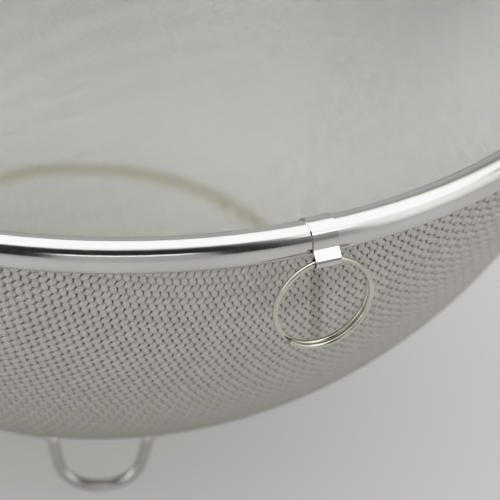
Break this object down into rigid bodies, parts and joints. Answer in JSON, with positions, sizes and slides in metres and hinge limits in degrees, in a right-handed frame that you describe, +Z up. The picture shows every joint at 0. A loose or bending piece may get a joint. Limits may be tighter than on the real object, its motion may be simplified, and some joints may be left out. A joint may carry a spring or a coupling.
{
  "type": "double sieve strainer",
  "caption": "Round bowl strainer of coarse and fine woven steel cloth in a rolled rim, with a wire foot and a split hanging ring that swings from a strap.",
  "frame": {"origin": "on the bowl's axis, in the plane that the feet stand on", "axes": "+Z up along the bowl's axis, -Y towards the front, near which the hanging ring is, +X to the right"},
  "size_m": [0.2712, 0.2712, 0.1305],
  "materials": {
    "polished_steel": "polished stainless steel strip",
    "steel_wire": "drawn bright stainless wire",
    "coarse_cloth": "coarse plain-woven stainless wire cloth",
    "fine_cloth": "fine plain-woven stainless wire cloth"
  },
  "bodies": {
    "bowl": {"rim_band": "polished_steel", "rim_hoop": "steel_wire", "outer_sieve": "coarse_cloth", "inner_sieve": "fine_cloth", "foot_wire": "steel_wire", "hanger_strap": "polished_steel"},
    "ring": {"hanging_ring": "steel_wire"}
  },
  "joints": [
    {"name": "ring_swing", "type": "hinge", "parent": "bowl", "child": "ring", "pos_m": [0.05125, -0.12686, 0.12287], "axis": [-0.9272, -0.3746, 0], "range_deg": [-20, 180]}
  ]
}
